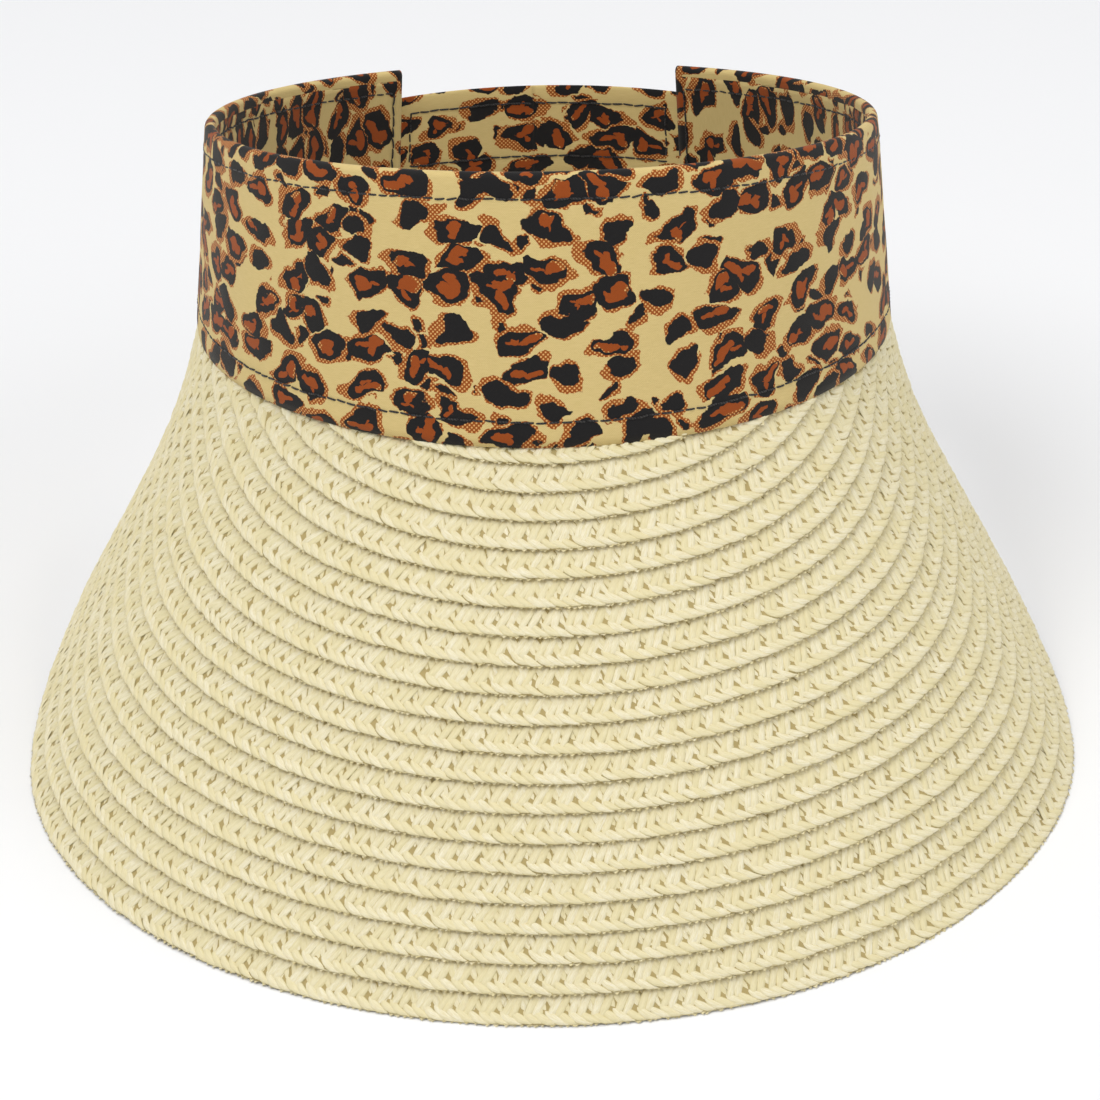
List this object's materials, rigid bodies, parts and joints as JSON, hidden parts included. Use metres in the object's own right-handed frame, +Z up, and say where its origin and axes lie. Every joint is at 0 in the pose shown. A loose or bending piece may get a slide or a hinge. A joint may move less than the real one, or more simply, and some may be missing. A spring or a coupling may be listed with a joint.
{
  "type": "sun visor",
  "caption": "Open-crown sun visor with a printed fabric headband, a wide sewn straw-braid brim and a hook-and-loop strap at the back.",
  "frame": {"origin": "centre of the bounding box's base, on the surface the visor stands on", "axes": "+Z up, the brim's front faces -Y, the closing strap is at +Y, +X to the right when seen from the front"},
  "size_m": [0.2586, 0.2876, 0.1611],
  "materials": {
    "straw": "matte",
    "straw_thread": "matte",
    "cloth": "matte",
    "lining": "matte",
    "board": "matte",
    "thread": "matte",
    "tape": "matte"
  },
  "bodies": {
    "visor": {"braid_row_01": "straw", "braid_row_02": "straw", "braid_row_03": "straw", "braid_row_04": "straw", "braid_row_05": "straw", "braid_row_06": "straw", "braid_row_07": "straw", "braid_row_08": "straw", "braid_row_09": "straw", "braid_row_10": "straw", "braid_row_11": "straw", "braid_row_12": "straw", "braid_row_13": "straw", "braid_row_14": "straw", "braid_row_15": "straw", "braid_row_16": "straw", "braid_row_17": "straw", "braid_row_18": "straw", "braid_row_19": "straw", "braid_row_20": "straw", "brim_stitching": "straw_thread", "band_cover": "cloth", "band_stiffener": "board", "band_lining": "lining", "topstitch_upper": "thread", "topstitch_lower": "thread", "end_stitch_left": "thread", "end_stitch_right": "thread", "strap_root": "cloth", "root_stitch": "thread", "loop_tape": "tape", "loop_stitch": "thread"},
    "strap": {"strap_span": "cloth", "span_stitch": "thread"},
    "tab": {"strap_tab": "cloth", "tab_stitch": "thread", "hook_tape": "tape"}
  },
  "joints": [
    {"name": "strap_root_hinge", "type": "hinge", "parent": "visor", "child": "strap", "pos_m": [-0.0395, 0.13107, 0.09325], "axis": [0.0461, 0.1276, 0.9908], "range_deg": [0, 80]},
    {"name": "tab_peel_hinge", "type": "hinge", "parent": "strap", "child": "tab", "pos_m": [0.03726, 0.13414, 0.09282], "axis": [-0.0428, 0.1254, 0.9912], "range_deg": [0, 110]}
  ]
}
